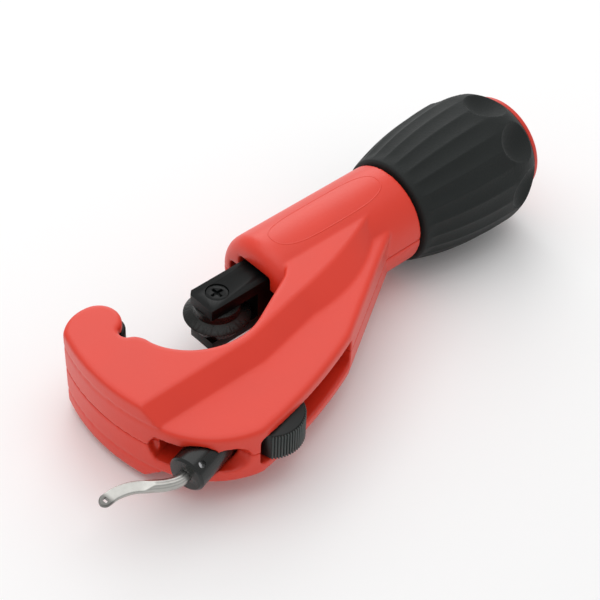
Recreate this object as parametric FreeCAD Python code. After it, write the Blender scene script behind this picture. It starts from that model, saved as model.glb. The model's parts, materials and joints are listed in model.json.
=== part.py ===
"""Hand pipe cutter: a two-shell C-frame with guide rollers, a screw-fed cutting wheel and a
retractable deburring blade. Millimetres. The origin is midway between the two roller axes in the
cutting plane, +X runs along the feed screw towards the knob and +Z along the pipe."""
import FreeCAD, Part
import math
import os
from FreeCAD import Vector

# ---- fits and clearances ----
RUN_FIT = 0.05          # radial play of a shaft that turns in its bore
SLIDE_FIT = 0.15        # play on each flat of a guided slide
BODY_GAP = 0.3          # air between curved faces that move past each other
END_PLAY = 0.1          # axial play of captured washers and flanges
SCREW_FIT = 0.02        # radial play of a screw in its own thread

# ---- pipe range and cutting wheel ----
PIPE_MAX = 35.0         # largest pipe, outside diameter
PIPE_MIN = 4.0          # smallest pipe, outside diameter
WHEEL_R = 9.3
WHEEL_HUB_R = 6.4
WHEEL_HUB_HALF = 4.05
WHEEL_ROOT_HALF = 1.7   # half thickness of the wheel disc where it meets the hub
WHEEL_REST_X = 32.0     # wheel axis at rest, part way through its travel

# ---- guide rollers ----
ROLLER_R = 5.3
ROLLER_GAP = 2.8        # air between the two rollers
ROLLER_HALF = 9.6
ROLLER_PIN_R = 2.0
ROLLER_PIN_HALF = 11.6
ROLLER_POCKET_GAP = 0.4
ROLLER_END_GAP = 0.3

# ---- C-frame ----
FRAME_HALF = 13.0       # half thickness of the hook and throat
WEB_HALF = 8.25         # half thickness of the lowered back flange
TOP_EDGE_R = 1.2
WEB_EDGE_R = 1.5
TIP_R = 6.2             # nose of the hook
TIP_X = -1.5
TIP_Y = 7.5
HOOK_BACK_X = -13.8     # furthest reach of the hook's back
HOOK_BACK_R = 58.0      # sweep of the hook's back
HOOK_BACK_Y = -8.5      # height of its furthest point
STEP_Y = -22.5          # where the thick cheek starts to fall towards the flange
COVE_RUN = 5.5          # plan width of that slope
THROAT_GAP = 1.8        # room round the largest pipe
THROAT_OFFSET = 0.7
RAMP_DEG = 26.0         # slope of the throat as it rises to the barrel
BACK_Y = -45.2          # lowest point of the frame's back

# ---- barrel ----
BARREL_R = 15.0
BARREL_MOUTH_X = 45.0
BARREL_REAR_X = 95.0
MOUTH_R = 4.5
REAR_WALL = 1.9
MOUTH_DEPTH = 5.0       # wider recess at the mouth
MOUTH_MARGIN = 1.0

# ---- slide, feed screw and nut ----
SLIDE_W = 10.0
SLIDE_H = 15.0
SLIDE_FRONT_X = 26.0
SLIDE_REAR_X = 70.5
SLIDE_CHAMFER = 1.2
WHEEL_SLOT_GAP = 0.15   # beside the hub in the fork
WHEEL_RIM_GAP = 0.9     # behind the wheel in the fork
AXLE_R = 2.5
AXLE_HEAD_R = 3.1
AXLE_HEAD_T = 1.0
AXLE_HEAD_SINK = 0.25
FEED_R = 4.0
FEED_PITCH = 2.5
FEED_TAIL_X = 122.0
FEED_SPIGOT = 12.0
FEED_PIN_R = 1.2
NUT_FLANGE_R = 11.0
NUT_FLANGE_T = 2.4
NUT_NECK_R = 8.0
NUT_HEX_AF = 13.0
NUT_HEX_LEN = 13.0
NUT_TAIL_R = 5.7
NUT_TAIL_LEN = 3.0
RING_R = 7.2
RING_T = 0.8
RING_GROOVE_R = 5.1
WASHER_T = 0.7

# ---- knob ----
KNOB_GAP = 1.0          # visible gap between barrel and knob
KNOB_FRONT_R = 15.9
KNOB_MAX_R = 20.7
KNOB_MAX_AT = 33.0      # distance of the widest point from the knob's front
KNOB_LEN = 46.4
KNOB_END_R = 15.6
GRIP_WALL = 3.8
CORE_CAVITY_R = 9.0
CORE_RING_T = 2.0
CAP_R = 12.5
CAP_SINK = 0.8          # depth of the cap's seat in the ring
CAP_DOME = 1.2
CAP_SKIRT = 3.0
DENT_COUNT = 8
DENT_R = 9.0
DENT_DEPTH = 2.2
DENT_FROM_END = 6.0

# ---- deburring blade and its slider ----
REAMER_X = -10.5        # front face of the blade holder, blade out
REAMER_Y = -38.2
REAMER_DEG = 15.0       # slide direction, from +X towards +Y
REAMER_TRAVEL = 24.0
HOLDER_R = 5.1
HOLDER_LEN = 34.0
BLADE_SHANK_R = 1.6
BLADE_SHANK_LEN = 15.0
BLADE_HALF = 0.9
BLADE_TILT = 15.0       # turn of the swivelling blade about its shank, at rest
BLADE_HOLE = 1.3
SET_SCREW_R = 1.0
SET_SCREW_AT = 2.6
SET_SCREW_DEG = 50.0
BUTTON_S0 = 19.0
BUTTON_S1 = 33.8
BUTTON_HALF = 4.2
BUTTON_PEAK = 16.4
BUTTON_FOOT = 9.5       # height of the button's underside above the slide axis
BUTTON_SEAT = 4.2       # depth of the flat on the holder that carries the button's stem
STEM_MARGIN = 2.0
SLOT_HALF = 4.7
SLOT_CORNER_R = 1.5
SLOT_LEAD = 2.7         # slot ahead of the button, blade out
SLOT_TAIL = 0.8         # slot beyond the button, blade folded away
BAY_HALF = 4.2          # half height of the bay
BAY_DEPTH = 11.6
BAY_ROOF_S = 9.8        # where the bay's roof starts to close on the channel
BAY_END_N = 13.2        # far end of its opening in the hook's back, a full round
BAY_LOBE_R = 4.0        # round end of its opening in the back flange
BAY_LOBE_S = 10.3
DETENT_BALL_R = 1.5
DETENT_AT = 29.0
DETENT_BORE_LEN = 4.6
SPRING_WIRE_R = 0.22
SPRING_TURNS = 4

# ---- frame screws ----
SCREW_R = 1.5
SCREW_HEAD_R = 2.7
SCREW_HEAD_T = 1.6
SCREW_THREAD = 7.0      # length above the parting plane
BARREL_SCREW_X = 76.0
BARREL_SCREW_Y = 10.2
HEEL_SCREW = (-2.5, -18.2)
WEB_SCREW = (57.0, -22.5)

# ---- worked out from the sizes above ----
ROLLER_Y = ROLLER_R + ROLLER_GAP / 2    # each roller axis lies this far to either side of the feed axis


def wheel_x_for(pipe_d):
    """Wheel axis when the wheel touches a pipe that lies on both rollers."""
    reach = ROLLER_R + pipe_d / 2
    return math.sqrt(reach ** 2 - ROLLER_Y ** 2) + pipe_d / 2 + WHEEL_R


WHEEL_MIN_X = wheel_x_for(PIPE_MIN)
WHEEL_MAX_X = wheel_x_for(PIPE_MAX)
THROAT_X = WHEEL_MAX_X - WHEEL_R - PIPE_MAX / 2 + THROAT_OFFSET
THROAT_Y = -THROAT_OFFSET
THROAT_R = PIPE_MAX / 2 + THROAT_GAP
POCKET_R = ROLLER_R + ROLLER_POCKET_GAP
POCKET_HALF = ROLLER_HALF + ROLLER_END_GAP
GROOVE_X1 = BARREL_REAR_X - REAR_WALL
GROOVE_X0 = GROOVE_X1 - NUT_FLANGE_T - 2 * WASHER_T - 4 * END_PLAY
FLANGE_X0 = GROOVE_X0 + WASHER_T + 2 * END_PLAY
FLANGE_X1 = FLANGE_X0 + NUT_FLANGE_T
KNOB_X = BARREL_REAR_X + KNOB_GAP
KNOB_END_X = KNOB_X + KNOB_LEN
HEX_X1 = KNOB_X + NUT_HEX_LEN
CORE_END_X = KNOB_END_X + CORE_RING_T - END_PLAY
RING_X = HEX_X1 + END_PLAY
SLOT_S0 = BUTTON_S0 - SLOT_LEAD
SLOT_S1 = BUTTON_S1 + REAMER_TRAVEL + SLOT_TAIL
CHANNEL_R = HOLDER_R + BODY_GAP
CHANNEL_S1 = HOLDER_LEN + REAMER_TRAVEL + BODY_GAP
FEED_SPIGOT_X = SLIDE_REAR_X - FEED_SPIGOT
COS_R = math.cos(math.radians(REAMER_DEG))
SIN_R = math.sin(math.radians(REAMER_DEG))
X_AXIS = Vector(1, 0, 0)
Z_AXIS = Vector(0, 0, 1)
SLIDE_DIR = Vector(COS_R, SIN_R, 0)
ACROSS = Vector(-SIN_R, COS_R, 0)


# ---- small helpers ----
def box(x0, x1, y0, y1, z0, z1):
    return Part.makeBox(x1 - x0, y1 - y0, z1 - z0, Vector(x0, y0, z0))


def rod_z(x, y, r, z0, z1):
    return Part.makeCylinder(r, z1 - z0, Vector(x, y, z0), Z_AXIS)


def rod_x(r, x0, x1):
    return Part.makeCylinder(r, x1 - x0, Vector(x0, 0, 0), X_AXIS)


def at(s, n, z=0.0):
    """A point given along (s) and across (n) the deburring slide."""
    return Vector(REAMER_X + s * COS_R - n * SIN_R, REAMER_Y + s * SIN_R + n * COS_R, z)


def path(points, place):
    """Edges through points; a point marked 'via' makes an arc of the stretch that it lies on."""
    edges = []
    start = place(*points[0])
    via = None
    for item in points[1:]:
        if item[0] == "via":
            via = place(*item[1:])
            continue
        end = place(*item)
        if via is None:
            edges.append(Part.LineSegment(start, end).toShape())
        else:
            edges.append(Part.Arc(start, via, end).toShape())
        start = end
        via = None
    return edges


def prism(points, place, z0, z1):
    """A closed outline raised from z0 to z1."""
    face = Part.Face(Part.Wire(path(points, place)))
    face.translate(Vector(0, 0, z0))
    return face.extrude(Vector(0, 0, z1 - z0))


def revolve_x(points):
    """A closed (x, radius) outline turned about the X axis."""
    face = Part.Face(Part.Wire(path(points, lambda x, r: Vector(x, r, 0))))
    return face.revolve(Vector(0, 0, 0), X_AXIS, 360)


def plan(x, y):
    return Vector(x, y, 0)


def lower(shape):
    return shape.mirror(Vector(0, 0, 0), Z_AXIS)


def write(name, shape):
    shape.exportStep(os.path.join("parts", name + ".step"))


# ---- C-frame ----
def tip_point(deg):
    return (TIP_X + TIP_R * math.cos(math.radians(deg)), TIP_Y + TIP_R * math.sin(math.radians(deg)))


def throat_point(deg):
    a = math.radians(deg)
    return (THROAT_X + THROAT_R * math.cos(a), THROAT_Y + THROAT_R * math.sin(a))


def ramp_end():
    x0, y0 = throat_point(RAMP_DEG - 90)
    x1 = BARREL_MOUTH_X + MOUTH_R / 3
    return (x1, y0 + (x1 - x0) * math.tan(math.radians(RAMP_DEG)))


def hook_back(y):
    """Point on the hook's back at height y."""
    return (HOOK_BACK_X + HOOK_BACK_R - math.sqrt(HOOK_BACK_R ** 2 - (y - HOOK_BACK_Y) ** 2), y)


def jaw_points(low_y):
    """The hook, the roller notch and the throat, from height low_y on the hook's back."""
    heel = (THROAT_X - 0.94 * THROAT_R, -1.05 * ROLLER_Y)
    return [hook_back(low_y),
            ("via", *hook_back(HOOK_BACK_Y)), hook_back(TIP_Y + 2.3),
            ("via", TIP_X - TIP_R + 0.4, TIP_Y + 5.1), tip_point(90),
            ("via", *tip_point(20)), tip_point(-55),
            ("via", 0.0, 0.0), (1.8, -2.1),
            ("via", 3.5, -4.0), heel,
            throat_point(207),
            ("via", *throat_point(250)), throat_point(RAMP_DEG - 90),
            ramp_end(),
            (BARREL_MOUTH_X + 1.5 * MOUTH_R, -0.4 * BARREL_R)]


def web_outline():
    """Whole frame in plan: jaw, back flange and corner."""
    root_x = BARREL_REAR_X - 11
    corner_y = STEP_Y - COVE_RUN
    return jaw_points(corner_y) + [
        (root_x, -0.4 * BARREL_R), (root_x, -0.89 * BARREL_R),
        (48.0, BACK_Y + 10.2),
        ("via", 28.5, BACK_Y + 3.7), (9.0, BACK_Y),
        ("via", -3.3, BACK_Y + 6.2), hook_back(corner_y)]


def cheek_wire(drop, z):
    """Outline of the thick cheek; `drop` moves its lower border outwards."""
    root_x = BARREL_REAR_X - 11
    low_y = STEP_Y - max(drop, END_PLAY)
    points = jaw_points(STEP_Y) + [
        (root_x, -0.4 * BARREL_R),
        ("via", 66.0 + 0.4 * drop, STEP_Y + 9.3 - 0.95 * drop), (45.0, STEP_Y + 4.3 - drop),
        (24.0, STEP_Y - drop), hook_back(low_y),
        ("via", *hook_back((low_y + STEP_Y) / 2)), hook_back(STEP_Y)]
    wire = Part.Wire(path(points, plan))
    wire.translate(Vector(0, 0, z))
    return wire


def round_edges(shape, z, radius, wanted):
    """Rounds the edges of the flat face at height z whose middle passes `wanted`. Sizes that leave
    too little room get a smaller round, or none."""
    edges = []
    for edge in shape.Edges:
        ends = [v.Point.z for v in edge.Vertexes]
        mid = edge.valueAt((edge.FirstParameter + edge.LastParameter) / 2)
        if all(abs(e - z) < 1e-6 for e in ends) and wanted(mid):
            edges.append(edge)
    for share in (1, 0.6, 0.3):
        try:
            return shape.makeFillet(share * radius, edges)
        except Part.OCCError:
            continue
    return shape


def frame_shell():
    """Outside of the upper shell, solid below its skin."""
    web = prism(web_outline(), plan, 0, WEB_HALF)
    web = round_edges(web, WEB_HALF, WEB_EDGE_R, lambda p: p.y < STEP_Y - 2 * COVE_RUN or
                      (p.x > 49 and p.y < -BARREL_R))
    cheek = Part.makeLoft([cheek_wire(COVE_RUN, WEB_HALF), cheek_wire(0, FRAME_HALF)], True, True)
    cheek = round_edges(cheek, FRAME_HALF, TOP_EDGE_R, lambda p: p.x < BARREL_MOUTH_X and
                        p.y > STEP_Y + 1 and (p.x < 0 or p.y > -THROAT_R - 3))
    barrel = rod_x(BARREL_R, BARREL_MOUTH_X, BARREL_REAR_X)
    mouth_edge = [e for e in barrel.Edges if abs(e.BoundBox.XMax - BARREL_MOUTH_X) < 1e-6]
    barrel = barrel.makeFillet(MOUTH_R, mouth_edge)
    upper = box(0, 2 * BARREL_REAR_X, -BARREL_R, BARREL_R, 0, BARREL_R)
    return web.fuse([cheek, barrel.common(upper)]).removeSplitter()


def roller_room():
    """Pocket for both rollers and the blind seats of their pins."""
    cuts = [box(-POCKET_R, POCKET_R, -ROLLER_Y, ROLLER_Y, -POCKET_HALF, POCKET_HALF)]
    for y in (ROLLER_Y, -ROLLER_Y):
        cuts.append(rod_z(0, y, POCKET_R, -POCKET_HALF, POCKET_HALF))
        cuts.append(rod_z(0, y, ROLLER_PIN_R + SCREW_FIT, -ROLLER_PIN_HALF - END_PLAY,
                          ROLLER_PIN_HALF + END_PLAY))
    return cuts


def barrel_room():
    """Mouth, guideway, wheel relief, nut groove and rear bore."""
    half_w = SLIDE_W / 2 + SLIDE_FIT
    half_h = SLIDE_H / 2 + SLIDE_FIT
    relief_r = WHEEL_R + 2 * BODY_GAP
    relief_h = WHEEL_HUB_HALF + BODY_GAP
    front = BARREL_MOUTH_X - MOUTH_DEPTH
    return [box(front, BARREL_MOUTH_X + MOUTH_DEPTH, -half_w - MOUTH_MARGIN, half_w + MOUTH_MARGIN,
                -half_h - MOUTH_MARGIN, half_h + MOUTH_MARGIN),
            box(front, GROOVE_X0 + 1, -half_w, half_w, -half_h, half_h),
            box(front, WHEEL_MAX_X, -relief_r, relief_r, -relief_h, relief_h),
            rod_z(WHEEL_MAX_X, 0, relief_r, -relief_h, relief_h),
            rod_x(NUT_FLANGE_R + BODY_GAP, GROOVE_X0, GROOVE_X1),
            rod_x(NUT_NECK_R + RUN_FIT, GROOVE_X1 - 1, BARREL_REAR_X + 1)]


def reamer_room():
    """Bay for the folded-away blade, holder channel, slider slot and detent dimples."""
    outside = -2.5 * HOLDER_R
    inner_s = REAMER_TRAVEL + 2
    mouth_n = BAY_END_N - BAY_HALF
    pocket = [(0, -1), (inner_s, -1), (inner_s, CHANNEL_R), (BAY_ROOF_S, BAY_DEPTH), (0, BAY_DEPTH), (0, -1)]
    mouth = [(outside, 0), (BAY_LOBE_S / 2, 0), (BAY_LOBE_S / 2, mouth_n), (outside, mouth_n), (outside, 0)]
    deep = -2 * BUTTON_PEAK
    slot = prism([(SLOT_S0, 0), (SLOT_S1, 0), (SLOT_S1, deep), (SLOT_S0, deep), (SLOT_S0, 0)], at,
                 -SLOT_HALF, SLOT_HALF)
    slot_corners = [e for e in slot.Edges if abs(e.Length + deep) < 1e-6]
    cuts = [prism(pocket, at, -BAY_HALF, BAY_HALF),
            prism(mouth, at, -BAY_HALF, BAY_HALF),
            Part.makeCylinder(BAY_HALF, BAY_LOBE_S / 2 - outside, at(outside, mouth_n), SLIDE_DIR),
            Part.makeCylinder(BAY_LOBE_R, -2 * outside, at(BAY_LOBE_S, 2 * outside), ACROSS),
            Part.makeCylinder(CHANNEL_R, CHANNEL_S1 - outside, at(outside, 0), SLIDE_DIR),
            slot.makeFillet(SLOT_CORNER_R, slot_corners)]
    for s in (DETENT_AT, DETENT_AT + REAMER_TRAVEL):
        cuts.append(Part.makeSphere(DETENT_BALL_R + BODY_GAP, at(s, CHANNEL_R - DETENT_BALL_R)))
    return cuts


def screw_places():
    """Each frame screw as (x, y, z under its head)."""
    barrel_z = -math.sqrt(BARREL_R ** 2 - BARREL_SCREW_Y ** 2) + 2.5 * SCREW_HEAD_T
    return [(*HEEL_SCREW, -FRAME_HALF + 1.2 * SCREW_HEAD_T),
            (*WEB_SCREW, -WEB_HALF + 1.2 * SCREW_HEAD_T),
            (BARREL_SCREW_X, BARREL_SCREW_Y, barrel_z),
            (BARREL_SCREW_X, -BARREL_SCREW_Y, barrel_z)]


def frame_halves():
    shell = frame_shell()
    room = roller_room() + barrel_room() + reamer_room()
    taps = []
    clear = []
    for x, y, z in screw_places():
        taps.append(rod_z(x, y, SCREW_R + SCREW_FIT, -1, SCREW_THREAD + END_PLAY))
        clear.append(rod_z(x, y, SCREW_R + RUN_FIT, z - 1, 1))
        clear.append(rod_z(x, y, SCREW_HEAD_R + BODY_GAP, -2 * FRAME_HALF, z))
    write("frame_upper_half", shell.cut(room + taps))
    write("frame_lower_half", lower(shell).cut(room + clear))


def frame_screws():
    """Pan-head screws that close the two shells from below."""
    screws = []
    for x, y, z in screw_places():
        head = rod_z(x, y, SCREW_HEAD_R, z - SCREW_HEAD_T, z)
        rim = [e for e in head.Edges if abs(e.BoundBox.ZMax - z + SCREW_HEAD_T) < 1e-6]
        head = head.makeFillet(SCREW_HEAD_T / 3, rim)
        screw = head.fuse(rod_z(x, y, SCREW_R, z, SCREW_THREAD)).removeSplitter()
        screws.append(screw.cut(cross_recess(x, y, z - SCREW_HEAD_T, 1, SCREW_HEAD_R)))
    write("frame_screws", Part.makeCompound(screws))


def cross_recess(x, y, z, way, head_r):
    """Cross slot for a driver, sunk from height z in the direction `way` (+1 up, -1 down)."""
    arm = 0.6 * head_r
    half = 0.14 * head_r
    z0 = min(z - 1, z + way * 0.8) if way > 0 else z - 0.8
    z1 = z + 0.8 if way > 0 else z + 1
    return [box(x - arm, x + arm, y - half, y + half, z0, z1),
            box(x - half, x + half, y - arm, y + arm, z0, z1)]


# ---- rollers ----
def rollers():
    for name, y in (("tip", ROLLER_Y), ("heel", -ROLLER_Y)):
        body = rod_z(0, y, ROLLER_R, -ROLLER_HALF, ROLLER_HALF)
        rims = [e for e in body.Edges if e.Curve.TypeId == "Part::GeomCircle"]
        body = body.makeChamfer(0.4, rims)
        bore = rod_z(0, y, ROLLER_PIN_R + RUN_FIT, -ROLLER_HALF, ROLLER_HALF)
        write(name + "_roller", body.cut(bore))
        write(name + "_roller_pin", rod_z(0, y, ROLLER_PIN_R, -ROLLER_PIN_HALF, ROLLER_PIN_HALF))


# ---- slide, wheel and feed screw ----
def cutter_slide():
    half_w = SLIDE_W / 2
    half_h = SLIDE_H / 2
    c = SLIDE_CHAMFER
    body = prism([(SLIDE_FRONT_X, half_w - c), (SLIDE_FRONT_X, -half_w), (SLIDE_REAR_X, -half_w),
                  (SLIDE_REAR_X, half_w), (SLIDE_FRONT_X + c, half_w), (SLIDE_FRONT_X, half_w - c)],
                 plan, -half_h, half_h)
    slot_half = WHEEL_HUB_HALF + WHEEL_SLOT_GAP
    slot_end = WHEEL_REST_X + WHEEL_R + WHEEL_RIM_GAP
    sink = half_h - AXLE_HEAD_T - AXLE_HEAD_SINK
    pin_x = FEED_SPIGOT_X + FEED_SPIGOT / 2
    write("cutter_slide", body.cut([
        box(SLIDE_FRONT_X - 1, slot_end, -SLIDE_W, SLIDE_W, -slot_half, slot_half),
        rod_z(WHEEL_REST_X, 0, AXLE_R + SCREW_FIT, -half_h - 1, half_h),
        rod_z(WHEEL_REST_X, 0, AXLE_HEAD_R + BODY_GAP / 2, sink, half_h + 1),
        rod_x(FEED_R + SCREW_FIT, FEED_SPIGOT_X, SLIDE_REAR_X + 1),
        rod_z(pin_x, 0, FEED_PIN_R + SCREW_FIT, -half_h - 1, half_h + 1)]))


def cutting_wheel():
    bore = AXLE_R + RUN_FIT
    outline = [(bore, WHEEL_HUB_HALF), (WHEEL_HUB_R, WHEEL_HUB_HALF), (WHEEL_HUB_R, WHEEL_ROOT_HALF),
               (WHEEL_R, 0), (WHEEL_HUB_R, -WHEEL_ROOT_HALF), (WHEEL_HUB_R, -WHEEL_HUB_HALF),
               (bore, -WHEEL_HUB_HALF), (bore, WHEEL_HUB_HALF)]
    face = Part.Face(Part.Wire(path(outline, lambda r, z: Vector(WHEEL_REST_X + r, 0, z))))
    write("cutting_wheel", face.revolve(Vector(WHEEL_REST_X, 0, 0), Z_AXIS, 360))


def wheel_axle_screw():
    seat = SLIDE_H / 2 - AXLE_HEAD_T - AXLE_HEAD_SINK
    shank = rod_z(WHEEL_REST_X, 0, AXLE_R, AXLE_HEAD_SINK - SLIDE_H / 2, seat)
    head = rod_z(WHEEL_REST_X, 0, AXLE_HEAD_R, seat, seat + AXLE_HEAD_T)
    screw = shank.fuse(head).removeSplitter()
    write("wheel_axle_screw", screw.cut(cross_recess(WHEEL_REST_X, 0, seat + AXLE_HEAD_T, -1, AXLE_HEAD_R)))


def feed_screw():
    pin_x = FEED_SPIGOT_X + FEED_SPIGOT / 2
    body = rod_x(FEED_R, FEED_SPIGOT_X + END_PLAY, FEED_TAIL_X)
    ends = [e for e in body.Edges if abs(e.BoundBox.XMin - FEED_TAIL_X) < 1e-6]
    body = body.makeChamfer(0.8, ends)
    write("feed_screw", body.cut(rod_z(pin_x, 0, FEED_PIN_R + SCREW_FIT, -SLIDE_H, SLIDE_H)))
    write("feed_screw_pin", rod_z(pin_x, 0, FEED_PIN_R, END_PLAY - SLIDE_H / 2, SLIDE_H / 2 - END_PLAY))


def hex_bar(af, x0, x1):
    corners = [Vector(x0, af / math.sqrt(3) * math.cos(math.radians(60 * i)),
                      af / math.sqrt(3) * math.sin(math.radians(60 * i))) for i in range(7)]
    return Part.Face(Part.makePolygon(corners)).extrude(Vector(x1 - x0, 0, 0))


def feed_nut():
    """Nut sleeve: a flange held in the barrel, and a hexagon that drives the knob."""
    tail_x = HEX_X1 + NUT_TAIL_LEN
    body = rod_x(NUT_FLANGE_R, FLANGE_X0, FLANGE_X1).fuse([
        rod_x(NUT_NECK_R, FLANGE_X1, KNOB_X), hex_bar(NUT_HEX_AF, KNOB_X, HEX_X1),
        rod_x(NUT_TAIL_R, HEX_X1, tail_x)]).removeSplitter()
    groove = rod_x(2 * NUT_TAIL_R, RING_X, RING_X + RING_T + 2 * END_PLAY).cut(
        rod_x(RING_GROOVE_R, RING_X - 1, RING_X + 2 * RING_T))
    write("feed_nut", body.cut([groove, rod_x(FEED_R + RUN_FIT, FLANGE_X0 - 1, tail_x + 1)]))


def retaining_ring():
    x0 = RING_X + END_PLAY
    ring = rod_x(RING_R, x0, x0 + RING_T).cut(rod_x(RING_GROOVE_R + SCREW_FIT, x0 - 1, x0 + 2))
    gap = box(x0 - 1, x0 + 2, -1.2, 1.2, 0, 2 * RING_R)
    write("retaining_ring", ring.cut(gap))


def thrust_washers():
    front = rod_x(NUT_FLANGE_R, GROOVE_X0 + END_PLAY, GROOVE_X0 + END_PLAY + WASHER_T)
    rear = rod_x(NUT_FLANGE_R, FLANGE_X1 + END_PLAY, FLANGE_X1 + END_PLAY + WASHER_T)
    bore = NUT_NECK_R + BODY_GAP
    write("thrust_washers", Part.makeCompound([
        front.cut(rod_x(bore, GROOVE_X0 - 1, FLANGE_X0)), rear.cut(rod_x(bore, FLANGE_X1, GROOVE_X1))]))


# ---- knob ----
def grip_profile(inset):
    """Outer line of the knob from front to end, `inset` below the rubber's surface."""
    wide_x = KNOB_X + KNOB_MAX_AT
    return [(KNOB_X, KNOB_FRONT_R - inset),
            ("via", KNOB_X + 0.48 * KNOB_MAX_AT, KNOB_MAX_R - 1.1 - inset),
            (wide_x, KNOB_MAX_R - inset),
            ("via", wide_x + 0.68 * (KNOB_LEN - KNOB_MAX_AT), KNOB_MAX_R - 1.9 - inset),
            (KNOB_END_X, KNOB_END_R - inset)]


def knob_grip():
    inner = grip_profile(GRIP_WALL - 2 * RUN_FIT)
    body = revolve_x([(KNOB_X, 0)] + grip_profile(0) + [(KNOB_END_X, 0), (KNOB_X, 0)])
    core = revolve_x([(KNOB_X, 0)] + inner + [(KNOB_END_X, 0), (KNOB_X, 0)])
    dents = []
    for i in range(DENT_COUNT):
        a = 2 * math.pi * i / DENT_COUNT
        r = KNOB_MAX_R - 1.9 + DENT_R - DENT_DEPTH
        centre = Vector(KNOB_END_X - DENT_FROM_END, r * math.cos(a), r * math.sin(a))
        dents.append(Part.makeSphere(DENT_R, centre))
    write("knob_grip", body.cut([core] + dents))


def knob_core():
    """Hard centre of the knob with the coloured ring that shows at its end."""
    body = revolve_x([(KNOB_X, 0)] + grip_profile(GRIP_WALL) + [(KNOB_END_X, 0), (KNOB_X, 0)])
    ring = rod_x(KNOB_END_R, KNOB_END_X + END_PLAY, CORE_END_X)
    rim = [e for e in ring.Edges if abs(e.BoundBox.XMin - CORE_END_X) < 1e-6]
    ring = ring.makeFillet(CORE_RING_T / 2, rim)
    neck = rod_x(KNOB_END_R - GRIP_WALL, KNOB_END_X - 1, KNOB_END_X + 1)
    write("knob_core", body.fuse([ring, neck]).removeSplitter().cut([
        hex_bar(NUT_HEX_AF + 2 * RUN_FIT, KNOB_X - 1, HEX_X1 + 1),
        rod_x(CORE_CAVITY_R, HEX_X1, CORE_END_X + 1),
        rod_x(CAP_R + SCREW_FIT, CORE_END_X - CAP_SINK, CORE_END_X + 1)]))


def knob_end_cap():
    """Domed plug that closes the hollow core."""
    seat = CORE_END_X - CAP_SINK
    top = CORE_END_X + CAP_DOME
    low = seat - CAP_SKIRT
    plug_r = CORE_CAVITY_R - RUN_FIT
    hollow_r = plug_r - CAP_DOME
    ball_r = (CAP_R ** 2 + CAP_DOME ** 2) / (2 * CAP_DOME)
    mid_x = top - ball_r + math.sqrt(ball_r ** 2 - CAP_R ** 2 / 4)
    write("knob_end_cap", revolve_x([(low, hollow_r), (low, plug_r), (seat, plug_r), (seat, CAP_R),
                                     (CORE_END_X, CAP_R), ("via", mid_x, CAP_R / 2),
                                     (top, 0), (seat, 0), (seat, hollow_r), (low, hollow_r)]))


# ---- deburring blade and slider ----
def radial(deg):
    """Direction across the holder, turned from its outer side towards +Z."""
    a = math.radians(deg)
    return Vector(SIN_R * math.cos(a), -COS_R * math.cos(a), math.sin(a))


def reamer_holder():
    body = Part.makeCylinder(HOLDER_R, HOLDER_LEN, at(0, 0), SLIDE_DIR)
    rims = [e for e in body.Edges if e.Curve.TypeId == "Part::GeomCircle"]
    body = body.makeChamfer(0.6, rims)
    stem = (BUTTON_S0 + STEM_MARGIN, BUTTON_S1 - STEM_MARGIN)
    seat = prism([(stem[0] - 0.5, -BUTTON_SEAT), (stem[1] + 0.5, -BUTTON_SEAT),
                  (stem[1] + 0.5, -2 * HOLDER_R), (stem[0] - 0.5, -2 * HOLDER_R),
                  (stem[0] - 0.5, -BUTTON_SEAT)], at, -HOLDER_R, HOLDER_R)
    screw_axis = radial(SET_SCREW_DEG)
    write("reamer_holder", body.cut([
        seat,
        Part.makeCylinder(BLADE_SHANK_R + RUN_FIT, BLADE_SHANK_LEN + 1, at(-1 + END_PLAY, 0), SLIDE_DIR),
        Part.makeCylinder(SET_SCREW_R + SCREW_FIT, 2 * HOLDER_R, at(SET_SCREW_AT, 0), screw_axis),
        Part.makeCylinder(DETENT_BALL_R + RUN_FIT, 2 * HOLDER_R,
                          at(DETENT_AT, HOLDER_R - DETENT_BORE_LEN), ACROSS)]))


def blade_set_screw():
    axis = radial(SET_SCREW_DEG)
    start = at(SET_SCREW_AT, 0) + axis * (BLADE_SHANK_R + 2 * RUN_FIT)
    length = HOLDER_R - BLADE_SHANK_R - 4 * RUN_FIT
    write("blade_set_screw", Part.makeCylinder(SET_SCREW_R, length, start, axis))


def deburring_blade():
    """Round shank that bends into a flat hooked blade with a small window at its tip."""
    bend = path([(BLADE_SHANK_LEN - 1, 0), (-1.5, 0), ("via", -5.6, 1.4), (-8.6, 4.3)], at)
    circle = Part.Wire(Part.makeCircle(BLADE_SHANK_R, at(BLADE_SHANK_LEN - 1, 0), SLIDE_DIR))
    shank = Part.Wire(bend).makePipeShell([circle], True, True)
    flat = prism([(-7.2, 5.2), ("via", -13.2, 9.4), (-20.6, 10.8), ("via", -22.3, 9.5), (-21.2, 7.9),
                  ("via", -15.2, 6.8), (-9.3, 2.9), (-7.2, 5.2)], at, -BLADE_HALF, BLADE_HALF)
    half = BLADE_HOLE / 2
    hole = prism([(-20.2 - half, 9.4 - half), (-20.2 + half, 9.4 - half), (-20.2 + half, 9.4 + half),
                  (-20.2 - half, 9.4 + half), (-20.2 - half, 9.4 - half)], at, -2, 2)
    blade = shank.fuse(flat).removeSplitter().cut(hole)
    blade.rotate(at(0, 0), SLIDE_DIR, BLADE_TILT)
    write("deburring_blade", blade)


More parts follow.
